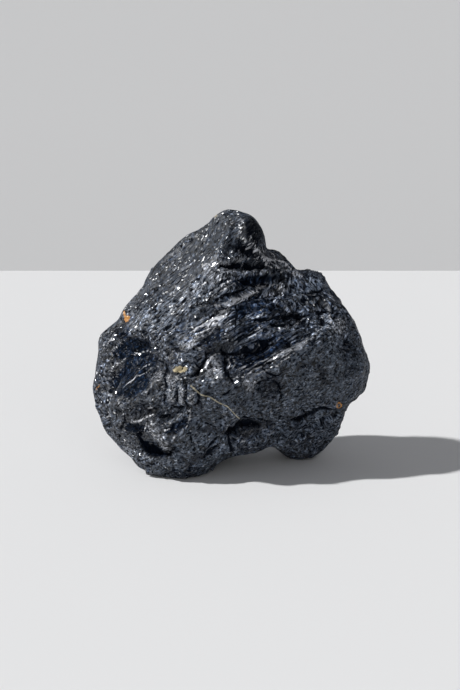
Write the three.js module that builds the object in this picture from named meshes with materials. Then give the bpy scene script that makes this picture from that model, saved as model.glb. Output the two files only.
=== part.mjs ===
// A palm-sized chunk of raw black tourmaline: one solid stone, worked out as a radius in every direction
// from a core point inside it. Millimetres, +Z up. The broad face looks along -Y and leans back a little.
//
// The stone is shaped in its face frame: u runs to the right across the broad face, v runs up it and w
// stands out of it, all from the core point. At the end the stone is stood up on its three feet.
import * as THREE from "three";
import { ImprovedNoise } from "three/addons/math/ImprovedNoise.js";
import { mergeVertices } from "three/addons/utils/BufferGeometryUtils.js";

const { degToRad, smoothstep, lerp, clamp } = THREE.MathUtils;

// Driving dimensions.
const FACE_LEAN = degToRad(12); // how far the broad face leans back from upright
const CORE_HEIGHT = 26.3; // of the core above the surface that the stone rests on
const FRONT_DEPTH = 17.5; // from the core to the broad face
const BACK_DEPTH = 20; // from the core to the back
const ROUNDNESS = 2.35; // 2 is an ellipse in section, more is squarer
const MESH_DETAIL = 20; // makes 20 * (MESH_DETAIL + 1) ** 2 triangles

// The girdle is the widest line round the stone, as [u, v, w] clockwise from the tip of the knob.
const GIRDLE = [
  [0.2, 29.2, 2], // knob
  [2.7, 28.5, 2],
  [4.8, 26.8, 2],
  [6.3, 24.6, 1],
  [6.8, 22.2, 0],
  [8.0, 20.8, -1], // neck below the knob
  [9.9, 20.6, -2],
  [11.6, 19.2, -3],
  [13.7, 17.1, -3],
  [14.6, 16.1, -3], // nick above the shoulder
  [16.4, 16.3, -3],
  [18.5, 16.2, -3],
  [20.4, 15.0, -3], // shoulder
  [21.4, 13.3, -3],
  [25.0, 8.1, -4],
  [27.1, 5.2, -4],
  [28.4, 2.4, -4],
  [30.2, -3.4, -4],
  [30.4, -6.1, -4], // right cheek
  [29.7, -8.9, -4],
  [28.0, -11.4, -4],
  [26.4, -12.3, -5],
  [25.4, -13.6, -6], // nick above the foot
  [25.1, -15.3, -6],
  [23.7, -18.3, -7],
  [21.5, -21.1, -8],
  [19.4, -23.4, -8.5],
  [17.3, -24.5, -9],
  [15.6, -24.8, -9], // foot
  [12.5, -24.1, -8],
  [10.4, -22.9, -7],
  [8.2, -21.8, -4], // crown of the arch between foot and heel
  [6.1, -22.3, -2],
  [2.7, -23.3, 1],
  [-1.0, -24.6, 3.5],
  [-5.9, -27.5, 6.5],
  [-8.8, -28.3, 7],
  [-12.4, -28.5, 7], // heel
  [-14.9, -28.0, 6.5],
  [-17.4, -26.8, 5],
  [-20.4, -25.5, 3],
  [-23.8, -22.1, 1],
  [-27.3, -18.4, -1],
  [-29.0, -15.1, -2],
  [-29.9, -11.0, -2],
  [-29.9, -7.2, -2], // left cheek
  [-28.9, -0.5, -2],
  [-28.2, 2.0, -2],
  [-26.6, 3.7, -3],
  [-24.3, 5.4, -4],
  [-22.9, 8.3, -4],
  [-19.3, 12.5, -4],
  [-17.2, 16.3, -4],
  [-13.2, 21.3, -3],
  [-10.6, 24.0, -2],
  [-8.1, 25.6, -1],
  [-5.4, 26.5, 0],
  [-3.9, 27.9, 1],
  [-1.8, 28.7, 2],
];
const GIRDLE_SAMPLES = 1440;
const GIRDLE_SMOOTHING = degToRad(38); // each way: the nicks and bumps of the girdle melt away over this
const NICK_DEPTH = [0.16, 0.7]; // sine of the angle off the girdle at which they start and end melting

// Broken faces: flat cuts across the rounded body, as [normal u, v, w, distance from the core].
const BROKEN_FACES = [
  [-0.6, 0.6, 0.53, 18.2], // sparkling slope, upper left
  [0.52, 0.58, 0.62, 17.2], // shaded slope, upper right
  [-0.75, -0.05, 0.66, 21.3], // left cheek
  [0.5, -0.22, 0.84, 19.6], // broad matt face, lower right
  [-0.1, -0.45, 0.88, 20.2], // lower front
  [-0.3, 0.35, -0.89, 18.5], // back, upper left
  [0.45, 0.3, -0.84, 19.5], // back, upper right
  [0.15, -0.5, -0.85, 20], // back, lower
];
const FACE_BLEND = 2.5; // how softly a broken face meets the body

// Rounded knuckles that stand out of the body, as [u, v, w, radius]. The first three are the feet.
const KNUCKLES = [
  [-10.5, -19.7, 6, 8.4], // heel, front
  [-11, -16, -9.5, 9.1], // heel, back
  [15.4, -18, -8.9, 7.1], // foot
  [1.5, 22.5, 1.5, 6.2], // knob
  [-17, -13, 6, 8.5], // lower left lobe
];
const KNUCKLE_BLEND = 4;

// Ledges, as { drop, reach, lip, line }: beside a bent line of [u, v] points the surface falls by `drop`
// within `lip` above the line, and climbs back over `reach` below it.
const FRONT_LEDGES = [
  { drop: 2.6, reach: 3, lip: 1.6, line: [[-0.8, 22], [2.1, 20.7], [5.1, 19.6]] }, // recess under the knob
  { drop: 1.2, reach: 2, lip: 1.6, line: [[-4.6, 16.8], [-1.1, 17.6], [4.2, 18], [11.6, 17.2]] },
  { drop: 1.8, reach: 2.4, lip: 1.8, line: [[-3.8, 13.1], [1.7, 14.8], [6.8, 15.4], [13.1, 14.6]] },
  {
    drop: 2.2,
    reach: 2.8,
    lip: 2,
    line: [[-7.2, 7.8], [-1.7, 9.5], [2.5, 11.6], [6.8, 13.1], [12.7, 13.9]],
  },
  {
    drop: 1.4,
    reach: 3,
    lip: 2,
    line: [[-16.9, 2.5], [-7.4, 6.3], [1.9, 10.1], [8.7, 12.5], [14.8, 11.6]],
  },
  { drop: 1.4, reach: 2.4, lip: 2, line: [[6.8, 2.5], [12.7, 4.9], [16.5, 5.9]] },
  {
    drop: 2.4,
    reach: 3,
    lip: 2,
    line: [[-7.2, -2.3], [-3.2, -1.5], [3.2, -1.5], [8, 0], [12.7, 1.5], [17.3, 4.2]],
  },
  { drop: 1.4, reach: 2.6, lip: 2, line: [[-27.5, -1.5], [-23.2, 0.4], [-16.9, 2.1]] },
  { drop: 1.1, reach: 2.2, lip: 2, line: [[-24.9, -3.6], [-19, -1.5], [-13.7, 0]] },
  { drop: 1.3, reach: 2.6, lip: 2, line: [[-23.7, -8.5], [-16.9, -5.7], [-12.7, -3.6]] },
  { drop: 1.4, reach: 2.8, lip: 2, line: [[-23.7, -16.9], [-16.9, -14.8], [-9.5, -12.7]] },
  {
    drop: 1.8,
    reach: 2.6,
    lip: 1.8,
    line: [[-1.5, -19.4], [2.7, -16.7], [6.8, -16.9], [10.6, -18], [14.8, -16.7], [18, -15.2]],
  },
];
const BACK_LEDGES = [
  { drop: 2.4, reach: 3.4, lip: 2, line: [[-22, 5], [-13, 7], [-4, 12], [7, 14], [12, 18]] },
  { drop: 1.8, reach: 2.8, lip: 2, line: [[-24, -7], [-15, -2], [-7, -2], [3, 4]] },
  { drop: 2.2, reach: 3, lip: 2, line: [[4, -3], [12, -1], [17, 3], [25, 4]] },
  { drop: 1.8, reach: 2.6, lip: 2, line: [[-13, -14], [-4, -9], [8, -9], [19, -12]] },
];
// Pits are sunk and lumps stand proud, as [u, v, radius, height].
const FRONT_SPOTS = [
  [-16.7, -21.8, 2.2, -2.4], // black pit in the heel
  [-15.4, -18.2, 2.2, 1.2], // lobe above that pit
  [24.9, 0, 2.2, -1.4], // pit in the right cheek
  [21.2, 3.4, 2.6, 0.8],
  [-20.5, -3.4, 5, -1.5], // glassy hollow in the left cheek
  [-26.5, 0.5, 2, 0.8],
  [-9, -9, 3, 0.7],
];
const BACK_SPOTS = [
  [-15, 6, 3.5, 1.6],
  [10, 9, 4, 1.4],
  [3, -13, 3.5, -2],
  [17, -5, 3, 1.2],
  [-4, 4, 3, -1.4],
  [-17, -9, 3, -1.5],
];
const RIM_FADE = 5; // the front's and the back's relief fades out over this much beside the girdle
const LINE_TAPER = 0.18; // share of a ledge's length over which each end dies out

// The crystal's fibres run up to the right and a little back, and the whole surface is ribbed along them.
const FIBRE = new THREE.Vector3(0.88, 0.42, -0.22).normalize();
const RIB_SPACING = 5.5;
const RIB_LENGTH = 24;
const RIB_HEIGHT = 0.9;

// Broad lumps and hollows without a direction, away from the girdle.
const LUMP_SPACING = 13;
const LUMP_HEIGHT = 1.8;

/** The girdle as a table of angle, radius and w, the last two also evened out over their neighbours. */
function girdleTable() {
  const curve = new THREE.CatmullRomCurve3(GIRDLE.map((p) => new THREE.Vector3(...p)), true, "centripetal");
  const samples = curve.getPoints(GIRDLE_SAMPLES).map((p) => ({
    angle: Math.atan2(p.y, p.x),
    radius: Math.hypot(p.x, p.y),
    w: p.z,
  }));
  for (const sample of samples) {
    let radiusSum = 0;
    let wSum = 0;
    let weights = 0;
    for (const other of samples) {
      const turn = Math.abs(other.angle - sample.angle);
      const apart = Math.min(turn, 2 * Math.PI - turn) / GIRDLE_SMOOTHING;
      const weight = Math.max(1 - apart * apart, 0) ** 2;
      radiusSum += weight * other.radius;
      wSum += weight * other.w;
      weights += weight;
    }
    sample.evenRadius = radiusSum / weights;
    sample.evenW = wSum / weights;
  }
  return samples.sort((a, b) => a.angle - b.angle);
}
const girdle = girdleTable();

/** The girdle in the direction `angle`, between the two nearest samples. */
function girdleAt(angle) {
  let low = 0;
  let high = girdle.length - 1;
  while (high - low > 1) {
    const middle = (low + high) >> 1;
    if (girdle[middle].angle > angle) high = middle;
    else low = middle;
  }
  const a = girdle[low];
  const b = girdle[high];
  const share = clamp((angle - a.angle) / (b.angle - a.angle || 1), 0, 1);
  const at = (key) => lerp(a[key], b[key], share);
  return { radius: at("radius"), w: at("w"), evenRadius: at("evenRadius"), evenW: at("evenW") };
}

/** The smaller of a and b, rounded off where they differ by less than `blend`. */
function softMin(a, b, blend) {
  const near = Math.max(blend - Math.abs(a - b), 0) / blend;
  return Math.min(a, b) - (near * near * blend) / 4;
}
const softMax = (a, b, blend) => -softMin(-a, -b, blend);

/** Nearest place on a bent line: how far below the line the point lies, and how far along it is, 0 to 1. */
function nearestOnLine(u, v, line) {
  let best = { distance: Infinity };
  line.slice(1).forEach(([bu, bv], i) => {
    const [au, av] = line[i];
    const du = bu - au;
    const dv = bv - av;
    const share = clamp(((u - au) * du + (v - av) * dv) / (du * du + dv * dv), 0, 1);
    const distance = Math.hypot(u - au - share * du, v - av - share * dv);
    if (distance >= best.distance) return;
    const below = Math.sign((u - au) * dv - (v - av) * du);
    best = { distance, below: below * distance, along: (i + share) / (line.length - 1) };
  });
  return best;
}

function ledgeHeight(u, v, { drop, reach, lip, line }) {
  const { below, along } = nearestOnLine(u, v, line);
  const ends = smoothstep(along, 0, LINE_TAPER) * (1 - smoothstep(along, 1 - LINE_TAPER, 1));
  const profile = below > 0 ? Math.exp(-((below / reach) ** 2)) : smoothstep(below, -lip, 0);
  return -drop * profile * ends;
}

const spotHeight = (u, v, [su, sv, radius, height]) =>
  height * Math.exp(-((u - su) ** 2 + (v - sv) ** 2) / radius ** 2);

function reliefHeight(u, v, ledges, spots) {
  const fromLedges = ledges.reduce((sum, ledge) => sum + ledgeHeight(u, v, ledge), 0);
  return spots.reduce((sum, spot) => sum + spotHeight(u, v, spot), fromLedges);
}

/** Ribs along the fibres: noise that is stretched along FIBRE and creased where it changes sign. */
const noise = new ImprovedNoise();
const ribAcross = new THREE.Vector3(-FIBRE.y, FIBRE.x, 0).normalize();
const ribOut = new THREE.Vector3().crossVectors(FIBRE, ribAcross);
function ribHeight(p) {
  const along = p.dot(FIBRE) / RIB_LENGTH;
  const across = p.dot(ribAcross) / RIB_SPACING;
  const out = p.dot(ribOut) / RIB_SPACING;
  return RIB_HEIGHT * (0.5 - 2 * Math.abs(noise.noise(along, across, out)));
}

const lumpHeight = (p) => LUMP_HEIGHT * noise.noise(...p.clone().divideScalar(LUMP_SPACING));

/** Distance from the core to the far side of a knuckle, or 0 where the direction misses it. */
function knuckleRadius(d, [u, v, w, radius]) {
  const along = d.x * u + d.y * v + d.z * w;
  const inside = along * along - (u * u + v * v + w * w) + radius * radius;
  return inside > 0 ? along + Math.sqrt(inside) : 0;
}

/** The stone's radius in the unit direction d of the face frame. */
function stoneRadius(d) {
  const across = Math.hypot(d.x, d.y);
  const rim = girdleAt(Math.atan2(d.y, d.x));
  const offGirdle = d.z - (rim.w * across) / rim.radius;
  const even = smoothstep(Math.abs(offGirdle), ...NICK_DEPTH);
  const radius = lerp(rim.radius, rim.evenRadius, even);
  const out = d.z - (lerp(rim.w, rim.evenW, even) * across) / radius;
  const depth = out > 0 ? FRONT_DEPTH : BACK_DEPTH;
  let r = ((across / radius) ** ROUNDNESS + (Math.abs(out) / depth) ** ROUNDNESS) ** (-1 / ROUNDNESS);
  for (const [nu, nv, nw, distance] of BROKEN_FACES) {
    const facing = d.x * nu + d.y * nv + d.z * nw;
    if (facing > 0) r = softMin(r, distance / facing, FACE_BLEND);
  }
  for (const knuckle of KNUCKLES) {
    const reach = knuckleRadius(d, knuckle);
    if (reach > 0) r = softMax(r, reach, KNUCKLE_BLEND);
  }
  const p = d.clone().multiplyScalar(r);
  const offRim = offGirdle * r;
  const front = smoothstep(offRim, 0, RIM_FADE);
  const back = smoothstep(-offRim, 0, RIM_FADE);
  r += front * reliefHeight(p.x, p.y, FRONT_LEDGES, FRONT_SPOTS);
  r += back * reliefHeight(p.x, p.y, BACK_LEDGES, BACK_SPOTS);
  r += Math.max(front, back) * lumpHeight(p);
  return r + ribHeight(p) * lerp(0.5, 1, 1 - front);
}

/** The stone's surface, stood on its feet, with the flats that it rests on ground level. */
function stoneGeometry() {
  const ball = new THREE.IcosahedronGeometry(1, MESH_DETAIL);
  ball.deleteAttribute("normal");
  ball.deleteAttribute("uv");
  const geometry = mergeVertices(ball);
  const position = geometry.attributes.position;
  const d = new THREE.Vector3();
  for (let i = 0; i < position.count; i++) {
    d.fromBufferAttribute(position, i).normalize();
    d.multiplyScalar(stoneRadius(d));
    position.setXYZ(i, d.x, d.y, d.z);
  }
  geometry.rotateX(Math.PI / 2 - FACE_LEAN);
  geometry.translate(0, 0, CORE_HEIGHT);
  for (let i = 0; i < position.count; i++) position.setZ(i, Math.max(position.getZ(i), 0));
  geometry.computeBoundingBox();
  const centre = geometry.boundingBox.getCenter(new THREE.Vector3());
  geometry.translate(-centre.x, -centre.y, 0);
  geometry.computeVertexNormals();
  return geometry;
}

/** Schorl: blue-black, between glassy and matt. */
const blackTourmaline = new THREE.MeshStandardMaterial({ color: 0x24282f, roughness: 0.45, metalness: 0 });

const stone = new THREE.Mesh(stoneGeometry(), blackTourmaline);
stone.name = "stone";

const tourmaline = new THREE.Group();
tourmaline.add(stone);
export default tourmaline;
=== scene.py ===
import functools
import math

import bpy
import numpy as np
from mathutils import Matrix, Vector


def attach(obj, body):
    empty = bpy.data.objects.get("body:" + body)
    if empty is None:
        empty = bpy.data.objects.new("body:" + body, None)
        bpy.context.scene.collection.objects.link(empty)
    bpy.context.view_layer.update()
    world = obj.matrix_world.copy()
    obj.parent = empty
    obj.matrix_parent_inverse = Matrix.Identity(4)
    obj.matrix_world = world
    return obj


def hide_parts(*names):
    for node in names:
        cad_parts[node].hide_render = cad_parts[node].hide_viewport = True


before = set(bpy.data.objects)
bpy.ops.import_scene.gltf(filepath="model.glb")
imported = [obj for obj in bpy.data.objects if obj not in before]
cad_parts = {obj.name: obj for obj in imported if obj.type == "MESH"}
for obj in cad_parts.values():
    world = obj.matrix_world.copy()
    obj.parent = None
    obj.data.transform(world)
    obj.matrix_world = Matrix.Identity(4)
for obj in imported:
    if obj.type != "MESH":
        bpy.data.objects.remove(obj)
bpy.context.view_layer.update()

MM = 0.001  # metres in a millimetre

# The core point and the lean of the broad face, as the solid has them.
CORE = np.array([-0.24, -0.31, 26.3])
FACE_LEAN = math.radians(12)
FACE_AXES = np.array([
    [1, 0, 0],
    [0, math.sin(FACE_LEAN), math.cos(FACE_LEAN)],
    [0, -math.cos(FACE_LEAN), math.sin(FACE_LEAN)],
])  # rows are u, v and w in the frame's X, Y and Z

GRID_STEPS = 128  # along each edge of the cube that the grid is spread from: 12 * GRID_STEPS ** 2 triangles
FORM_BLUR = math.radians(2.2)  # the solid's facets are rounded off over this angle, seen from the core
FRONT = (0.05, 0.4)  # the broad face's detail fades in as a normal's w part rises from one to the other

# The crystal grew as fibres that run up to the right and a little back.
FIBRE = np.array([0.84, 0.50, -0.22])
FIBRE /= np.linalg.norm(FIBRE)
FIBRE_ACROSS = np.array([-FIBRE[1], FIBRE[0], 0])
FIBRE_ACROSS /= np.linalg.norm(FIBRE_ACROSS)
FIBRE_AXES = np.array([FIBRE, FIBRE_ACROSS, np.cross(FIBRE, FIBRE_ACROSS)])

# The way all of the scattered cleavage faces look, as u, v and w.
CLEAVAGE = np.array([-0.455, 0.437, 0.776])

# Zones of the broad face, each a turned ellipse, as [u, v, half width, half height, turn in degrees], and the
# values of these properties there:
# - gloss, from pitted matt (0) to glassy (1),
# - blocky, from fibrous (0) to chipped (1),
# - calm, how even the zone is,
# - tone, how pale (over 1) or dark (under 1) its stone is, or its painted shade or highlight,
# - sparkle, how many of its faces catch the light.
ZONES = {
    "upper slope": ([-11, 17.5, 13, 6, 42], [0.35, 0.35, 0.85, 0.54, 1.8]),
    "slope's foot": ([-16, 6, 6, 3, 25], [0.4, 0.0, 0.75, 1.5, 1.0]),
    "knob": ([-0.4, 24.5, 4, 3.5, 0], [0.25, 0.7, 0.6, 0.86, 1.0]),
    # its low tone is painted shade, on the side turned away from the key light
    "knob's dark side": ([5.0, 24.0, 2.4, 4, 15], [0.35, 0.2, 0.9, 0.2, 0.2]),
    "strands": ([8, 17.5, 5, 2.5, -35], [0.3, 0.0, 0.6, 0.6, 0.3]),
    "banded face": ([-7, 11, 9, 3.5, 28], [0.25, 0.0, 0.75, 1.2, 0.5]),
    "crest flank": ([4.6, 8.4, 5, 2.4, 20], [1.0, 0.0, 0.5, 3.0, 1.0]),
    "middle face": ([-4.2, 2.6, 5.5, 2.4, 22], [0.8, 0.0, 0.6, 1.0, 0.9]),
    # the high tone of this crest and the next is a painted highlight
    "bright crest": ([-3.2, 5.6, 3.5, 0.9, 28], [0.8, 0.0, 0.5, 1.6, 3.0]),
    "high crest": ([1.8, 9.7, 3.5, 0.8, 30], [0.8, 0.0, 0.5, 2.0, 2.5]),
    "lit ridge": ([11.0, -1.8, 6.5, 0.8, 31], [0.6, 0.0, 0.5, 1.0, 1.5]),
    "underside": ([0.5, -0.2, 5, 1.3, 12], [0.1, 0.3, 0.6, 0.35, 0.0]),
    "broken middle": ([7, 4, 5, 3, 20], [0.7, 0.5, 0.2, 2.0, 0.8]),
    "left hollow": ([-20.5, -4.4, 6.5, 6, 0], [1.0, 0.0, 0.85, 0.2, 0.3]),
    "left edge": ([-26, 1, 3, 4, 0], [0.6, 0.5, 0.2, 0.6, 0.7]),
    "shoulder": ([17, 13.3, 4, 2.5, -20], [0.2, 0.4, 0.5, 3.0, 0.5]),
    "right tangle": ([18, 6, 7, 5, -20], [0.35, 0.3, 0.3, 1.6, 0.6]),
    "glassy band": ([5.7, -2.1, 8, 2.2, 20], [1.0, 0.0, 0.6, 2.0, 0.8]),
    "pitted field": ([16, -8.5, 12, 7.5, 20], [0.05, 1.0, 0.7, 0.84, 0.1]),
    "cracked patch": ([8.2, -9.2, 2.6, 2.2, 0], [0.05, 1.0, 0.4, 0.42, 0.1]),
    "pocked rim": ([22.0, -7.0, 4.5, 1.8, 10], [0.1, 1.0, 0.3, 0.68, 0.1]),
    "pale plane": ([22.5, 2.6, 2.2, 3, -30], [0.2, 0.0, 0.6, 1.6, 0.3]),
    "right cheek": ([25, 0, 4, 8, 10], [0.2, 0.6, 0.5, 1.25, 0.1]),
    "knuckles": ([-10.6, -9.5, 4.5, 3.5, 0], [0.15, 1.0, 0.4, 1.0, 0.4]),
    "lower face": ([-2.5, -12.5, 6.5, 4.5, 0], [0.2, 0.9, 0.55, 1.0, 0.4]),
    "lower left": ([-18, -17, 7, 5, -30], [0.4, 0.8, 0.3, 0.32, 0.4]),
    "slab": ([-15.4, -19.0, 1.5, 4, 33], [0.05, 1.0, 1.0, 1.2, 0.0]),
    "worn cheek": ([-5.5, -18.5, 4, 3, 0], [0.1, 1.0, 0.8, 1.05, 0.1]),
    "bottom": ([-7.4, -24, 8, 4, 0], [0.1, 1.0, 0.65, 0.98, 0.1]),
    "foot": ([16, -19.5, 8, 5, 10], [0.1, 1.0, 0.4, 1.7, 0.3]),
}
BEYOND_ZONES = 0.15  # how much what lies beyond the zones weighs in

# Ledges, from the crystal's shingled growth: drop, reach, lip and line. One that faces down falls by its drop
# within its lip above the line and climbs back over its reach below it. One that faces up rises there instead
# and falls away below it. Here and below, a line's points are [u, v], left to right.
LEDGES_FACING_DOWN = [
    (1.3, 1.5, 0.5, [(0.4, 21.0), (2.2, 21.7), (3.9, 21.2), (5.6, 19.9)]),
    (0.5, 1.0, 0.3, [(-3.0, 17.0), (-1.6, 17.3), (1.0, 17.7), (4.8, 18.0), (8.2, 17.5)]),
    (0.6, 1.3, 0.4, [(1.3, 14.3), (4.3, 14.3), (6.9, 14.4), (9.1, 14.6), (12.4, 15.3)]),
    (0.7, 1.6, 0.35,
     [(-5.2, -0.6), (-1.7, -0.3), (2.1, -0.6), (4.3, 0.1), (6.7, 1.0), (9.8, 1.7), (13, 2.2)]),
    (0.4, 1.0, 0.35, [(-15.5, -12.9), (-12.2, -13.4), (-9, -13.2), (-5.4, -11.3)]),
    (0.9, 1.3, 0.45, [(-2.5, -19.2), (0.2, -18.7), (1.5, -17.4), (3.2, -16.1), (6.6, -16.4), (9.6, -17.4)]),
    (0.7, 1.0, 0.35, [(11.8, -15.2), (15.0, -15.9), (19.2, -13.6), (24.9, -14.0)]),
]
LEDGES_FACING_UP = [
    (0.3, 1.5, 0.3, [(-8.9, 9.7), (-5.2, 10.7), (-2.3, 11.9), (1.1, 14.4)]),
    (0.3, 1.5, 0.3, [(-6.3, 9.0), (-2.7, 10.7), (-1.3, 11.7), (2.1, 13.6)]),
    (0.9, 3.5, 1.0,
     [(-2.0, 7.8), (-0.4, 8.6), (0.4, 9.2), (2.1, 9.7), (4.7, 11.1), (6.8, 12.0), (9.2, 12.5)]),
    (0.4, 2.4, 0.5, [(6.0, 7.2), (9.0, 8.8), (12.5, 9.6)]),
    (0.7, 3.5, 2.0, [(-12.2, -3.2), (-9.9, -1.7), (-6.7, 0.2), (-3.7, 2.1), (-1.0, 4.0), (0.8, 5.6)]),
    (0.4, 2.0, 0.3, [(3.8, 4.6), (7.6, 4.4), (11.4, 4.6), (15.8, 5.6), (18.5, 6.8)]),
    (0.6, 3.0, 0.8,
     [(2.1, -7.0), (4.6, -5.7), (7.1, -4.4), (9.4, -2.8), (12.6, -1.1), (15.2, 0.1), (18.2, 2.1)]),
    (0.7, 1.6, 0.7, [(-7.4, -6.4), (-5.2, -5.0), (-3.2, -2.6), (-1.4, -1.7)]),
    (0.25, 2.4, 0.3, [(-27.0, -2.2), (-24.6, -0.3), (-21.6, 1.6), (-17.6, 2.2)]),
    (0.25, 2.2, 0.3, [(-26.4, -6.6), (-24.8, -4.0), (-21.7, -2.5), (-19.2, -1.6), (-15.8, -1.4)]),
    (0.2, 1.8, 0.25, [(-21.0, -6.0), (-18.5, -4.6), (-15.8, -3.6)]),
    (0.3, 2.2, 0.3, [(-24.4, -10.0), (-21.2, -7.5), (-18.7, -6.3), (-16.2, -5.2)]),
    (0.6, 2.0, 0.6, [(-21.6, -16.0), (-19.2, -15.3), (-16.8, -14.1), (-14.8, -13.4)]),
    (0.4, 1.6, 0.4, [(-23.5, -12.2), (-21.1, -12.3), (-19.3, -11.7), (-16.4, -11.5)]),
    (0.4, 1.6, 0.4, [(-14.6, -18.2), (-12.2, -17.0), (-9.8, -16.6)]),
    (0.4, 1.4, 0.4, [(-13.0, -20.4), (-10.5, -18.3), (-8.6, -17.6)]),
]
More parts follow.
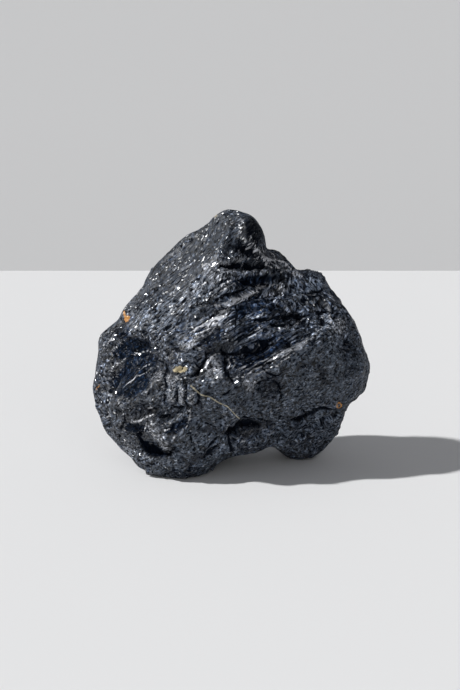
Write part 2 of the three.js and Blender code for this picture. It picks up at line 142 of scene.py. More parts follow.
# Ridges: half width, how bright the painted highlight on the crest is, and the line.
RIDGES = [
    # the knob and its strands
    (0.35, 0.35, [(1.4, 28.8), (2.3, 27.2), (3.0, 25.9), (3.4, 24.3)]),
    (0.28, 1.0, [(1.7, 26.4), (2.3, 24.0), (3.1, 22.4), (4.7, 20.7), (6.0, 19.6), (7.8, 17.9), (9.0, 16.2)]),
    (0.28, 1.0, [(2.7, 22.5), (4.3, 21.2), (5.9, 20.4), (7.8, 19.2), (9.5, 17.9), (10.8, 16.7)]),
    (0.28, 1.0, [(3.6, 23.4), (5.2, 21.6), (6.6, 20.2), (8.4, 18.0), (9.8, 16.4)]),
    (0.28, 1.0, [(6.9, 20.8), (8.7, 20.2), (10.4, 18.9), (12.0, 17.6), (13.2, 16.3)]),
    (0.28, 1.0, [(8.1, 18.6), (9.7, 18.0), (11.0, 16.4)]),
    (0.35, 0.4, [(-3.7, 16.9), (-2.1, 17.8), (0.4, 18.1), (3.3, 18.0), (5.4, 18.5), (7.3, 18.7)]),
    (0.30, 0.35, [(2.1, 15.5), (5.3, 15.8), (8.2, 15.9)]),
    (0.25, 0.6, [(10.6, 15.6), (11.9, 16.0), (13.7, 16.3)]),
    (0.35, 0.8, [(13.4, 15.6), (15.8, 15.4)]),
    (0.30, 0.5, [(15.5, 11.0), (16.8, 11.7), (18.6, 10.8)]),
    # the slope
    (0.25, 0.9, [(-5.9, 16.6), (-4.9, 17.4), (-3.8, 17.0), (-2.6, 17.6)]),
    (0.25, 0.9, [(-6.5, 12.7), (-5.0, 13.5)]),
    # the banded face
    (0.30, 0.6, [(-8.9, 9.7), (-6.9, 10.1), (-5.2, 10.7), (-3.8, 11.3), (-2.3, 11.9), (-0.8, 13.0),
                 (1.1, 14.4)]),
    (0.30, 0.6, [(-6.3, 9.0), (-4.2, 9.9), (-2.7, 10.7), (-1.3, 11.7), (0.7, 12.9), (2.1, 13.6)]),
    (0.25, 0.7, [(-3.1, 8.8), (-1.7, 9.6), (-0.2, 9.9)]),
    (0.25, 0.9, [(-3.6, 7.8), (-1.9, 8.2)]),
    # the crests of the middle
    (0.45, 1.0, [(-2.0, 8.0), (-0.4, 8.9), (0.4, 9.5), (2.1, 10.1), (3.4, 10.6), (4.7, 11.4)]),
    (0.35, 0.8, [(3.0, 10.2), (4.7, 11.6), (6.8, 12.4), (9.2, 12.9), (11.8, 13.3)]),
    (0.25, 1.0, [(-0.6, 8.2), (0.8, 9.0), (2.3, 9.3)]),
    (0.35, 0.9, [(-8.4, 2.9), (-6.9, 3.8), (-5.3, 4.4), (-3.5, 5.5), (-1.4, 6.1)]),
    (0.35, 0.9, [(-2.9, 6.3), (-1.7, 7.1), (-0.4, 7.5), (0.6, 8.0)]),
    (0.25, 0.8, [(-6.9, 2.4), (-4.6, 3.6), (-2.4, 4.9)]),
    (0.25, 0.8, [(-4.8, 4.2), (-2.4, 5.4), (-0.7, 6.6)]),
    (0.20, 1.0, [(13.1, 3.8), (14.4, 4.9), (15.8, 5.8), (17.1, 6.4)]),
    (0.20, 0.8, [(9.6, 2.9), (11.0, 3.6), (12.3, 4.0)]),
    (0.35, 0.6, [(21.1, 3.6), (21.7, 5.4), (21.6, 7.3)]),
    (0.30, 0.9, [(21.6, 7.6), (22.8, 8.5)]),
    (0.25, 0.5, [(19.5, 10.9), (20.7, 9.1), (21.8, 7.4)]),
    # under the crease
    (0.32, 0.9, [(6.5, -4.7), (8.0, -3.3), (9.6, -2.7), (10.9, -1.6), (12.2, -1.0), (13.5, -0.2), (14.8, 0.6),
                 (16.9, 1.9), (18.7, 2.6)]),
    (0.25, 0.8, [(2.1, -5.7), (4.6, -4.6), (7.1, -3.3), (9.9, -1.7), (12.7, -0.2)]),
    (0.25, 0.8, [(4.2, -6.9), (6.7, -5.7), (9.4, -4.4), (12.2, -2.6), (14.8, -1.1)]),
    (0.25, 0.8, [(10.7, -2.8), (12.6, -1.5), (14.1, -0.6), (15.6, 0.0)]),
    (0.30, 0.7, [(2.5, -6.7), (4.6, -5.4), (6.9, -4.4)]),
    (0.25, 0.9, [(1.9, -5.0), (3.6, -4.4)]),
    (0.40, 1.0, [(-6.3, -5.4), (-5.2, -4.8), (-4.4, -3.3), (-3.2, -2.3), (-1.9, -1.7)]),
    (0.25, 1.0, [(-5.0, -4.5), (-4.0, -3.7), (-3.1, -3.1)]),
    (0.25, 1.0, [(-0.1, -2.5), (0.0, -3.8), (-0.2, -5.0)]),
    (0.30, 1.0, [(0.9, -2.4), (1.0, -3.8), (0.8, -5.0)]),
    (0.25, 0.8, [(1.5, -6.7), (1.1, -8.3)]),
    # the left hollow
    (0.22, 0.6, [(-26.0, -1.7), (-24.6, -0.4), (-22.6, 1.1)]),
    (0.22, 0.8, [(-26.0, -6.3), (-24.8, -4.1), (-23.1, -3.4), (-21.7, -2.6), (-20.7, -1.9), (-19.2, -1.7),
                 (-17.3, -1.5)]),
    (0.20, 0.7, [(-19.8, -5.6), (-18.5, -4.7), (-16.8, -3.8)]),
    (0.25, 1.0, [(-22.9, -9.1), (-21.2, -7.6), (-19.8, -6.8), (-18.7, -6.4), (-17.6, -5.6)]),
    (0.20, 0.5, [(-26.0, -9.5), (-25.4, -7.6), (-24.2, -5.6)]),
    (0.25, 0.9, [(-27.9, 0.2), (-26.7, 0.2), (-25.9, 0.8), (-25.7, 2.0)]),
    # the knuckles
    (0.80, 0.12, [(-15.4, -5.4), (-15.3, -8.4)]),
    (0.90, 0.12, [(-12.4, -5.9), (-12.3, -8.2), (-12.4, -10.5), (-12.5, -12.4)]),
    (0.80, 0.12, [(-10.1, -8.8), (-10.1, -10.5), (-10.2, -12.6)]),
    (0.70, 0.12, [(-8.0, -9.2), (-8.0, -12.0)]),
    # the lower left
    (0.40, 1.0, [(-20.6, -16.5), (-18.6, -15.6), (-16.9, -15.0), (-16.0, -14.3)]),
    (0.30, 1.0, [(-17.7, -13.9), (-16.3, -13.2)]),
    (0.35, 0.6, [(-17.5, -15.6), (-17.9, -17.1), (-17.0, -18.3), (-16.1, -19.6)]),
    (0.40, 0.35, [(-24.0, -11.4), (-22.8, -13.1), (-22.9, -14.7), (-23.1, -16.5), (-24.4, -18.1)]),
    (0.40, 0.35, [(-22.2, -16.5), (-22.9, -18.1), (-22.9, -19.3), (-21.7, -21.2)]),
    (0.25, 0.9, [(-17.9, -17.1), (-18.3, -18.6)]),
    (0.30, 0.8, [(-26.4, -14.5), (-26.9, -15.9)]),
    (0.30, 0.6, [(-9.4, -14.7), (-8.2, -13.7)]),
    (0.35, 0.3, [(-8.4, -14.1), (-8.6, -15.7), (-9.7, -17.7)]),
    (0.25, 0.8, [(-13.9, -17.9), (-12.2, -17.0)]),
    (0.30, 0.7, [(-12.2, -20.0), (-10.5, -18.3)]),
]
# Cracks, painted black as shade to the bottom: half width and the line.
CRACKS = [
    (0.20, [(-11.3, 11.8), (-10.1, 12.6)]),
    (0.25, [(-8.5, 13.4), (-6.8, 14.2)]),
    (0.20, [(-8.7, 22.5), (-8.7, 24.3)]),
    (0.20, [(-10.9, 21.7), (-10.7, 23.3)]),
    (0.20, [(-5.2, 9.6), (-3.6, 10.2), (-1.0, 11.9), (1.3, 13.5)]),
    (0.18, [(-6.3, 10.3), (-3.8, 11.5), (-1.7, 13.0), (0.4, 14.5)]),
    (0.45, [(-2.8, 9.2), (-1.3, 9.9), (0.4, 10.5), (1.9, 11.3), (3.6, 12.2)]),
    (0.60, [(-2.1, 17.3), (0.5, 17.2), (3.2, 17.1), (5.6, 17.0), (8.2, 17.4)]),
    (0.50, [(2.1, 14.3), (4.3, 13.1), (6.0, 12.5), (8.1, 12.9)]),
    (0.22, [(-8.4, 3.5), (-6.3, 4.8), (-4.2, 5.9), (-2.9, 6.5), (-1.2, 7.8)]),
    (0.30, [(-1.7, -1.3), (0.0, -1.9), (2.1, -1.7), (4.3, -1.1), (6.7, 0.0), (9.5, 0.6)]),
    (0.40, [(-5.4, -1.2), (-5.0, -3.2), (-6.2, -4.6), (-7.8, -6.0)]),
    (0.45, [(-1.0, -2.1), (-0.8, -4.4), (-0.4, -6.7)]),
    (0.45, [(5.3, 5.3), (8.4, 5.7), (11.6, 5.7), (14.9, 6.2), (16.7, 6.9)]),
    (0.30, [(8.4, 4.2), (11.0, 4.0), (13.1, 4.2)]),
    (0.25, [(18.6, 10.0), (19.8, 8.4), (21.1, 7.1)]),
    (0.45, [(15.5, 11.6), (17.7, 11.7), (20.0, 12.4), (21.5, 12.8)]),
    (0.30, [(13.4, 16.0), (13.6, 13.8)]),
    (0.40, [(-13.9, -4.2), (-13.9, -6.3), (-14.0, -8.2), (-14.1, -10.0)]),
    (0.35, [(-11.2, -9.4), (-11.1, -11.0), (-11.2, -12.8)]),
    (0.35, [(-9.1, -8.1), (-9.2, -11.0), (-9.0, -13.0)]),
    (0.30, [(-13.8, -10.1), (-13.9, -11.5), (-13.6, -12.8)]),
    (0.25, [(-13.0, -13.2), (-10.1, -13.4), (-8.0, -12.8), (-5.6, -11.7)]),
    (0.30, [(-14.8, -15.2), (-12.2, -14.7)]),
    (0.50, [(-20.2, -20.0), (-18.1, -21.7), (-15.8, -22.9), (-13.4, -23.6)]),
    (0.50, [(-22.8, -16.9), (-23.9, -18.6), (-24.6, -20.7)]),
    (0.45, [(-2.9, -21.6), (-4.3, -23.1), (-5.5, -24.6)]),
    (0.30, [(-23.3, -13.3), (-22.5, -15.1), (-22.5, -16.9)]),
    (0.20, [(-5.2, -16.8), (-4.0, -17.3), (-3.0, -17.9)]),
    (0.25, [(-9.3, -19.1), (-8.2, -18.3), (-8.0, -21.3)]),
    (0.65, [(-1.9, -19.4), (0.2, -19.4), (1.3, -18.2), (3.0, -16.7), (4.7, -17.0), (6.6, -17.3)]),
    (0.40, [(0.0, -19.9), (0.3, -22.5)]),
    (0.20, [(2.8, -15.6), (5.3, -15.5), (7.7, -15.7)]),
    (0.25, [(-5.9, -23.3), (-3.6, -20.7), (-2.5, -19.4)]),
    (0.40, [(12.4, -15.9), (15.0, -16.4), (17.2, -15.4), (19.2, -14.1), (21.9, -14.0), (24.9, -14.5)]),
    (0.25, [(10.5, -16.6), (10.8, -15.1)]),
    (0.22, [(5.8, -3.8), (6.7, -4.9), (8.0, -5.9), (9.5, -6.1), (11.3, -5.9)]),
    (0.18, [(5.2, -8.7), (5.7, -8.2), (7.4, -7.3), (8.8, -7.4)]),
    (0.30, [(9.2, -7.2), (9.9, -8.0), (10.7, -9.0), (10.9, -10.6), (10.3, -12.0)]),
    (0.15, [(13.3, -9.7), (14.3, -9.5), (15.3, -9.8), (15.7, -10.6)]),
    (0.20, [(1.1, 8.6), (1.5, 6.1), (1.2, 3.5)]),
    (0.35, [(-6.9, -9.4), (-6.3, -11.0), (-6.7, -12.3)]),
    (0.40, [(0.2, -5.2), (0.6, -7.9)]),
    (0.35, [(0.4, -9.3), (-1.4, -11.0)]),
]
# Pits, as [u, v, half width, half height, turn in degrees, depth].
PITS = [
    (3.3, 20.2, 2.0, 0.9, -15, 1.5),
    (-19.6, -19.8, 1.6, 1.1, -35, 0.9),
    (-16.9, -22.6, 2.5, 1.6, -32, 1.2),
    (-13.5, -23.5, 1.0, 0.4, -10, 0.7),
    (-12.1, -22.2, 1.3, 0.6, 25, 0.8),
    (12.4, 0.6, 0.7, 1.1, 0, 0.8),
    (20.1, 5.6, 0.9, 0.9, 30, 0.9),
    (20.7, 8.4, 0.5, 0.8, 30, 0.6),
    (25.2, 0.7, 0.8, 1.1, 0, 0.7),
    (-21.0, -0.4, 1.7, 1.2, 20, 0.2),
    (-19.3, -3.4, 2.0, 0.8, 15, 0.2),
    (-22.4, -7.7, 2.6, 1.8, 25, 0.2),
    (-23.5, 2.6, 1.1, 1.1, 0, 0.6),
    (-24.4, -14.8, 0.8, 1.4, 0, 0.4),
    (-19.3, -12.9, 1.6, 0.5, 15, 0.4),
    (-11.2, -17.2, 2.4, 1.0, 25, 0.35),
    (-20.3, -17.9, 2.4, 1.0, 5, 0.4),
    (5.3, -16.9, 1.5, 0.8, 0, 0.5),
    (6.6, -14.8, 0.8, 0.45, 0, 0.5),
    (1.8, -12.2, 0.7, 0.4, 0, 0.4),
    (-3.8, -22.3, 0.8, 0.6, 0, 0.5),
    (7.6, -10.9, 0.6, 0.4, 0, 0.4),
    (15.4, -15.8, 1.3, 0.8, 15, 0.9),
    (20.1, -6.2, 0.5, 0.8, 10, 0.5),
    (22.3, -7.2, 0.6, 0.8, 0, 0.5),
    (10.6, -20.5, 0.8, 1.2, 0, 0.5),
    (19.1, -20.0, 0.9, 0.8, 0, 0.4),
]
# Planes that stand out from their zone, as [u, v, half width, half height, turn, strength]: pale ones,
# partly dust and partly a painted highlight on the lit crest bands, dark ones of painted shade where
# they are unlit, and clean navy ones.
PLANES = {
    "pale": [
        (-1.7, 14.8, 3.6, 1.1, 25, 0.65), (-4.2, 16.3, 1.8, 1.8, 0, 0.4), (-8.5, 11.2, 3.0, 0.8, 30, 0.4),
        (-3.4, 5.6, 3.2, 0.9, 28, 0.9), (2.0, 9.7, 3.4, 0.7, 30, 0.8), (-6.2, 1.7, 4.6, 0.9, 32, 0.6),
        (-3.6, -4.8, 1.9, 2.1, 0, 0.8), (4.2, -8.2, 1.4, 1.6, 0, 0.6), (-15.4, -6.5, 1.0, 1.5, 0, 0.4),
        (-12.3, -7.4, 1.1, 1.5, 0, 0.5), (-10.1, -10.8, 0.7, 1.8, 0, 0.5), (-12.4, -11.2, 0.8, 1.7, 0, 0.5),
        (-8.0, -11.1, 0.6, 1.3, 0, 0.5), (23.7, 4.3, 1.8, 1.6, 60, 0.6), (14.7, 15.4, 1.6, 0.6, 0, 0.5),
        (10.3, 11.8, 2.6, 0.9, 25, 0.5), (-15.2, -19.4, 1.2, 4.0, 33, 0.7), (-19.7, -15.6, 3.0, 0.9, 15, 0.4),
        (-22.3, -21.8, 0.9, 2.0, 20, 0.35), (9.7, 18.0, 4.0, 0.7, -40, 0.6), (1.9, 18.3, 4.0, 0.5, 12, 0.5),
        (12.5, -1.2, 7.2, 0.6, 31, 0.6),
    ],
    "dark": [
        (5.2, 24.4, 1.9, 3.6, 12, 1.0), (3.4, 20.3, 2.1, 0.8, -15, 1.0), (6.0, 19.0, 3.6, 1.1, -20, 0.8),
        (12.7, 5.7, 4.2, 1.3, 15, 0.5), (12.0, 0.4, 1.2, 1.6, 0, 0.6), (26.1, -2.5, 1.9, 3.8, 0, 0.6),
        (8.4, -9.0, 2.5, 2.5, 0, 0.55), (15.0, -19.0, 6.2, 3.0, 0, 0.45), (15.0, -16.0, 3.4, 1.0, 10, 0.7),
        (3.2, -17.8, 3.3, 1.0, 10, 0.65), (4.3, -21.8, 4.2, 1.0, 0, 0.4), (-9.6, -27.0, 4.6, 0.9, 0, 0.8),
        (-16.8, -22.6, 2.6, 1.5, -34, 0.9), (-11.9, -22.0, 1.4, 0.8, -20, 0.8),
        (11.6, 15.1, 2.0, 1.0, 0, 0.6),
    ],
    "navy": [
        (-21.4, -0.9, 4.5, 2.1, 14, 1.0), (-19.7, -4.3, 4.2, 2.4, 22, 1.0), (-21.4, -7.7, 5.0, 3.1, 18, 1.0),
        (5.0, 8.2, 4.0, 1.4, 22, 0.85), (8.6, 7.4, 2.6, 1.0, 15, 0.7), (-3.8, 1.8, 3.0, 1.4, 25, 0.75),
        (3.8, -2.5, 4.8, 1.3, 15, 0.6), (-11.2, -17.2, 2.9, 1.2, 25, 0.9), (-20.3, -17.9, 2.8, 1.2, 5, 0.9),
        (5.3, 13.9, 4.6, 1.0, 8, 0.9), (-23.3, 2.8, 1.7, 1.7, 0, 0.8), (-16.6, -22.2, 3.4, 1.5, -24, 0.8),
        (-16.8, 10.5, 4.5, 1.8, 45, 0.45), (-11.5, 18.0, 13.0, 4.5, 42, 0.28),
    ],
}
# Stains, as [u, v, half width, half height, turn, strength], and a ring of rust.
STAINS = {
    "rust": [
        (-22.4, 5.7, 0.7, 0.9, -30, 1.0), (-23.1, 6.9, 0.3, 0.8, 10, 1.0), (-28.9, -9.2, 0.35, 1.5, -40, 0.7),
    ],
    "cream": [(-10.4, -5.1, 1.6, 0.7, 0, 1.0), (-3.1, 28.1, 0.7, 0.7, 0, 0.5)],
}
RUST_RING = dict(at=(23.5, -13.0), radius=0.55, half_width=0.25, strength=0.75)
OFF_VEIN = 9  # past the vein's ends and behind the broad face, points count as this far from it
VEIN = [(-8.3, -8.3), (-6.9, -9.6), (-6.0, -10.4), (-4.3, -10.8), (-2.3, -12.1), (-0.6, -12.8), (2.1, -15.7)]
FRONT_FAN = 0.4  # how much steeper the fibres run at the top of the broad face, as a slope
# The flat faces of the break, as [sizes, height, the share of it that a calm zone loses, seed]: splinters
# measure `along` the fibres and `across` them, and chips are the same all ways.
SPLINTERS = [(11, 2.6, 1.0, 0.7, 31), (4.5, 1.05, 0.5, 0.7, 32)]
CHIPS = [(4.6, 1.2, 0.7, 33), (1.7, 0.42, 0.6, 34)]
PATCH = 15  # fibrous and chipped patches beyond the broad face measure this
WANDER = (0.3, 1.8)  # how far the broad face's lines wander to and fro, and over what length
SINK = 0.35  # the broad face's mean height lies this far below the coarse form
OUTLINE_SHARE = 0.15  # how much of the break's height is left at the outline, to keep the form's shape
RIDGE_RISE = 2.5  # a bright ridge's height, over its half width squared
CRACK_DEPTH = 1.4  # a crack's depth, over its half width
BLACK_PIT = 0.8  # pits at least this deep take the painted black shade of a crack
FAR_OFF = -2.0  # the nearness of a line that isn't near
NEAR_RISE, FAR_RISE = 12, 80  # rounds of evening that a point's rise above its surroundings is measured from


# ------------------------ noise, as whole arrays

def hashed(cell, seed):
    """A number from 0 to 255 for every whole-number cell: each coordinate in turn is added and shuffled."""
    order = np.random.default_rng(seed).permutation(256)
    mixed = order[cell[:, 0] & 255]
    mixed = order[(mixed + cell[:, 1]) & 255]
    return order[(mixed + cell[:, 2]) & 255]


def gradient_noise(p, seed):
    """Smooth noise from about -1 to 1: each whole-number corner holds a random slope, and a point takes the
    eight slopes round it, faded in by the quintic 6t^5 - 15t^4 + 10t^3."""
    slopes = np.random.default_rng(seed + 1).normal(size=(256, 3))
    slopes /= np.linalg.norm(slopes, axis=1)[:, None]
    cell = np.floor(p).astype(int)
    inside = p - cell
    fade = inside ** 3 * (inside * (inside * 6 - 15) + 10)
    total = np.zeros(len(p))
    for corner in np.ndindex(2, 2, 2):
        corner = np.array(corner)
        slope = slopes[hashed(cell + corner, seed)]
        share = np.where(corner, fade, 1 - fade).prod(axis=1)
        total += share * np.einsum("ij,ij->i", inside - corner, slope)
    return 1.6 * total


def fractal_noise(p, seed, octaves=4, falloff=0.5):
    """Gradient noise plus finer copies of itself, each twice as fine and `falloff` as tall."""
    return sum(falloff ** k * gradient_noise(p * 2 ** k, seed + 10 * k) for k in range(octaves))


def facets(p, seed, tilt=0.9, step=0.35, sharpness=24):
    """A break into flat facets, about -1 to 1: every unit cell has a middle, a random slant and a random
    step, and a point takes the slanted planes of the cells round it, each weighing
    exp(-sharpness * distance^2)."""
    rng = np.random.default_rng(seed + 2)
    middles = rng.uniform(0, 1, (256, 3))
    slants = rng.normal(0, tilt, (256, 3))
    steps = rng.uniform(-step, step, 256)
    cell = np.floor(p).astype(int)
    height = np.zeros(len(p))
    weights = np.full(len(p), 1e-12)
    for shift in np.ndindex(3, 3, 3):
        near = cell + np.array(shift) - 1
        which = hashed(near, seed)
        away = p - near - middles[which]
        weight = np.exp(-sharpness * (away ** 2).sum(axis=1))
        height += weight * ((away * slants[which]).sum(axis=1) + steps[which])
        weights += weight
    return height / weights


def smoothstep(low, high, x):
    t = np.clip((x - low) / (high - low), 0, 1)
    return t * t * (3 - 2 * t)


def stretched(p, along, across):
    """Points in the fibres' own axes, measured in steps of `along` along them and `across` across them."""
    return (p @ FIBRE_AXES.T) / np.array([along, across, across])


# ------------------------ the grid and the coarse form

def cube_grid(steps):
    """Unit directions and quads of a cube's surface grid swollen to a ball. A grid point (i, j) of a face
    goes to (tan a, tan b, 1) with a and b running evenly from -45 to 45 degrees, divided by its length.
    Points that two or three faces share are welded by their whole-number places on the cube."""
    i, j = np.meshgrid(np.arange(steps + 1), np.arange(steps + 1), indexing="ij")
    places, quads = [], []
    for axis in range(3):
        for side in (0, steps):
            place = np.zeros((steps + 1, steps + 1, 3), int)
            place[..., axis] = side
            place[..., (axis + 1) % 3] = i
            place[..., (axis + 2) % 3] = j
            number = (np.arange((steps + 1) ** 2) + len(places) * (steps + 1) ** 2).reshape(steps + 1, -1)
            round_trip = [number[:-1, :-1], number[1:, :-1], number[1:, 1:], number[:-1, 1:]]
            if side == 0:
                round_trip.reverse()
            places.append(place.reshape(-1, 3))
            quads.append(np.stack(round_trip, axis=-1).reshape(-1, 4))
    welded, where = np.unique(np.concatenate(places), axis=0, return_inverse=True)
    direction = np.tan((welded / steps - 0.5) * math.pi / 2)
    direction /= np.linalg.norm(direction, axis=1)[:, None]
    return direction, where.reshape(-1)[np.concatenate(quads)]


def solid_points():
    """The CAD stone's corners in the face frame."""
    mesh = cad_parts["stone"].data
    corners = np.empty(len(mesh.vertices) * 3)
    mesh.vertices.foreach_get("co", corners)
    corners = np.unique(corners.reshape(-1, 3).round(7), axis=0) / MM
    return (corners - CORE) @ FACE_AXES.T


def blurred(directions, known_directions, known, width):
    """Known values carried to new directions, each weighing exp((cos(angle) - 1) / width^2)."""
    known_directions = known_directions.astype(np.float32)
    known = known.astype(np.float32)
    out = []
    for part in np.array_split(directions.astype(np.float32), 32):
        weight = np.exp((part @ known_directions.T - 1) / np.float32(width ** 2))
        out.append(weight @ known / weight.sum(axis=1))
    return np.concatenate(out).astype(float)


def coarse_form(directions):
    """Points of the CAD solid's surface in these directions: its corners' radii, blurred, plus what that
    blur misses at the corners themselves, blurred again."""
    corners = solid_points()
    radius = np.linalg.norm(corners, axis=1)
    known = corners / radius[:, None]
    missed = radius - blurred(known, known, radius, FORM_BLUR)
    found = blurred(directions, known, radius, FORM_BLUR) + blurred(directions, known, missed, FORM_BLUR)
    return directions * found[:, None]


def corner_normals(points, quads):
    """Outward unit normals at the grid's points: the cross products of each quad's diagonals, summed."""
    diagonals = np.cross(points[quads[:, 2]] - points[quads[:, 0]], points[quads[:, 3]] - points[quads[:, 1]])
    total = np.zeros_like(points)
    for corner in range(4):
        for axis in range(3):
            total[:, axis] += np.bincount(quads[:, corner], diagonals[:, axis], len(points))
    return total / np.linalg.norm(total, axis=1)[:, None]


# ------------------------ the broken surface

def beside_line(u, v, line):
    """How far below a bent line each point lies, minus above it, and how far along it, from 0 to 1."""
    nearest = np.full(len(u), np.inf)
    below = np.zeros(len(u))
    along = np.zeros(len(u))
    for i, ((au, av), (bu, bv)) in enumerate(zip(line, line[1:])):
        du, dv = bu - au, bv - av
        share = np.clip(((u - au) * du + (v - av) * dv) / (du * du + dv * dv), 0, 1)
        distance = np.hypot(u - au - share * du, v - av - share * dv)
        closer = distance < nearest
        side = np.sign((u - au) * dv - (v - av) * du)
        nearest = np.where(closer, distance, nearest)
        below = np.where(closer, side * distance, below)
        along = np.where(closer, (i + share) / (len(line) - 1), along)
    return below, along


def ledge_height(u, v, facing, drop, reach, lip, line):
    """The profile of a ledge, `drop` times a step that rises within `lip` above the line and fades as
    exp(-(distance / reach)^2) below it: added for one that faces up, and for one that faces down taken off,
    with a low crest on its outer edge. It fades out at the line's ends."""
    below, along = beside_line(u, v, line)
    ends = smoothstep(0, 0.15, along) * (1 - smoothstep(0.85, 1, along))
    step = np.where(below > 0, np.exp(-(below / reach) ** 2), smoothstep(-lip, 0, below))
    crest = 0.3 * np.exp(-((below + lip + 0.4) / 0.5) ** 2)
    return drop * ends * (step if facing == "up" else crest - step)


def in_ellipse(u, v, cu, cv, half_u, half_v, turn=0):
    """Places along and across a turned ellipse, over its half width and half height."""
    turn = math.radians(turn)
    a = (u - cu) * math.cos(turn) + (v - cv) * math.sin(turn)
    b = (v - cv) * math.cos(turn) - (u - cu) * math.sin(turn)
    return a / half_u, b / half_v


def plane_share(u, v, *ellipse):
    """1 inside a turned ellipse and 0 outside it, over a fifth of its size."""
    return smoothstep(1.2, 0.8, np.hypot(*in_ellipse(u, v, *ellipse)))


def blob(u, v, *ellipse):
    """1 in the middle of a turned ellipse, e^-1 on its edge."""
    a, b = in_ellipse(u, v, *ellipse)
    return np.exp(-a ** 2 - b ** 2)


def nearness(u, v, width, line):
    """1 on the line and 0 at `width` from it, or nearer towards its ends, falling evenly down to FAR_OFF."""
    below, along = beside_line(u, v, line)
    ends = 0.4 + 0.6 * smoothstep(0, 0.2, along) * (1 - smoothstep(0.8, 1, along))
    return np.maximum(1 - np.abs(below) / (width * ends), FAR_OFF)


def zone_fields(u, v, beyond):
    """The zones' properties over the broad face, one row each: every zone weighs in by the square of its
    ellipse's blob, and `beyond` holds the properties of what lies beyond them."""
    weights = np.array([blob(u, v, *ellipse) ** 2 for ellipse, _ in ZONES.values()])
    properties = np.array([values for _, values in ZONES.values()])
    return (properties.T @ weights + BEYOND_ZONES * beyond) / (weights.sum(axis=0) + BEYOND_ZONES)


def broken_surface(p, normal):
    """Height of the broken surface above the coarse form p, its place along and across the fibres, and what
    the material reads at each point. The height is a break of flat faces, fibrous mixed with chipped, plus
    soft noise, and on the broad face the ledges, ridges, cracks and pits."""
    front = smoothstep(*FRONT, normal[:, 2])
    reach, length = WANDER
    u = p[:, 0] + reach * fractal_noise(p / length, 5, 3)
    v = p[:, 1] + reach * fractal_noise(p / length, 6, 3)

    patchy = smoothstep(-0.5, 0.5, gradient_noise(p / PATCH, 9))
    even = np.ones(len(p))
    # Gloss, blocky, calm, tone and sparkle beyond the zones, on the broad face and behind it.
    beyond = np.array([0.5 * even, patchy, 0.3 * even, 0.9 * even, 0.3 * even])
    behind = np.array([0.7 - 0.6 * patchy, patchy, 0.9 - 0.7 * patchy, 0.9 * even, 0.3 * even])
    gloss, blocky, calm, tone, sparkle = zone_fields(u, v, beyond) * front + behind * (1 - front)
    gloss = np.clip(gloss + 0.3 * gradient_noise(p / 4, 50), 0, 1)
    planes = {}
    for kind, listed in PLANES.items():
        shares = [strength * plane_share(u, v, *ellipse) for *ellipse, strength in listed]
        planes[kind] = front * np.max(shares, axis=0)

    fanned = p.copy()
    fanned[:, 1] -= front * FRONT_FAN * smoothstep(6, 20, v) * (u + 8)
    bends = [0.5 * gradient_noise(p / 9, 20 + k) + 0.08 * fractal_noise(p / 2.5, 60 + k, 2) for k in range(3)]
    grown = fanned + np.stack(bends, axis=1)
    fibrous = sum(height * (1 - lull * calm) * facets(stretched(grown, along, across), seed)
                  for along, across, height, lull, seed in SPLINTERS)
    chipped = sum(height * (1 - lull * calm) * facets(grown / size, seed)
                  for size, height, lull, seed in CHIPS)
    height = fibrous + (chipped - fibrous) * blocky
    height += 0.25 * fractal_noise(p / 4, 40, 2, 0.5)
    height -= height.mean() + SINK * front
    height *= OUTLINE_SHARE + (1 - OUTLINE_SHARE) * smoothstep(0.05, 0.5, np.abs(normal[:, 2]))

    crest, crack = np.full(len(p), FAR_OFF), np.full(len(p), FAR_OFF)
    for facing, ledges in (("down", LEDGES_FACING_DOWN), ("up", LEDGES_FACING_UP)):
        for ledge in ledges:
            height += front * ledge_height(u, v, facing, *ledge)
    for width, shine, line in RIDGES:
        near = nearness(u, v, width, line)
        height += front * RIDGE_RISE * width ** 2 * shine * smoothstep(-1.2, 1, near)
        crest = np.maximum(crest, near * shine)
    for width, line in CRACKS:
        near = nearness(u, v, width, line)
        height -= front * CRACK_DEPTH * width * smoothstep(-0.8, 1, near)
        crack = np.maximum(crack, near)
    for *ellipse, depth in PITS:
        inside = blob(u, v, *ellipse)
        height -= front * depth * inside
        crack = np.maximum(crack, 1.7 * inside * min(depth / BLACK_PIT, 1) - 0.9)
    crest = crest * front + FAR_OFF * (1 - front)
    crack = crack * front + FAR_OFF * (1 - front)

    return height, grown @ FIBRE_AXES.T, {
        "gloss": gloss, "blocky": blocky, "calm": calm, "tone": tone, "sparkle": sparkle,
        "crest": crest, "crack": crack, **planes,
    }


def evened(values, quads, rounds):
    """Values averaged with their neighbours along the quads' edges, `rounds` times."""
    start, end = quads.ravel(), np.roll(quads, -1, axis=1).ravel()
    size = len(values)
    neighbours = np.bincount(start, minlength=size) + np.bincount(end, minlength=size)
    for _ in range(rounds):
        total = np.bincount(start, values[end], size) + np.bincount(end, values[start], size)
        values = (values + total / neighbours) / 2
    return values


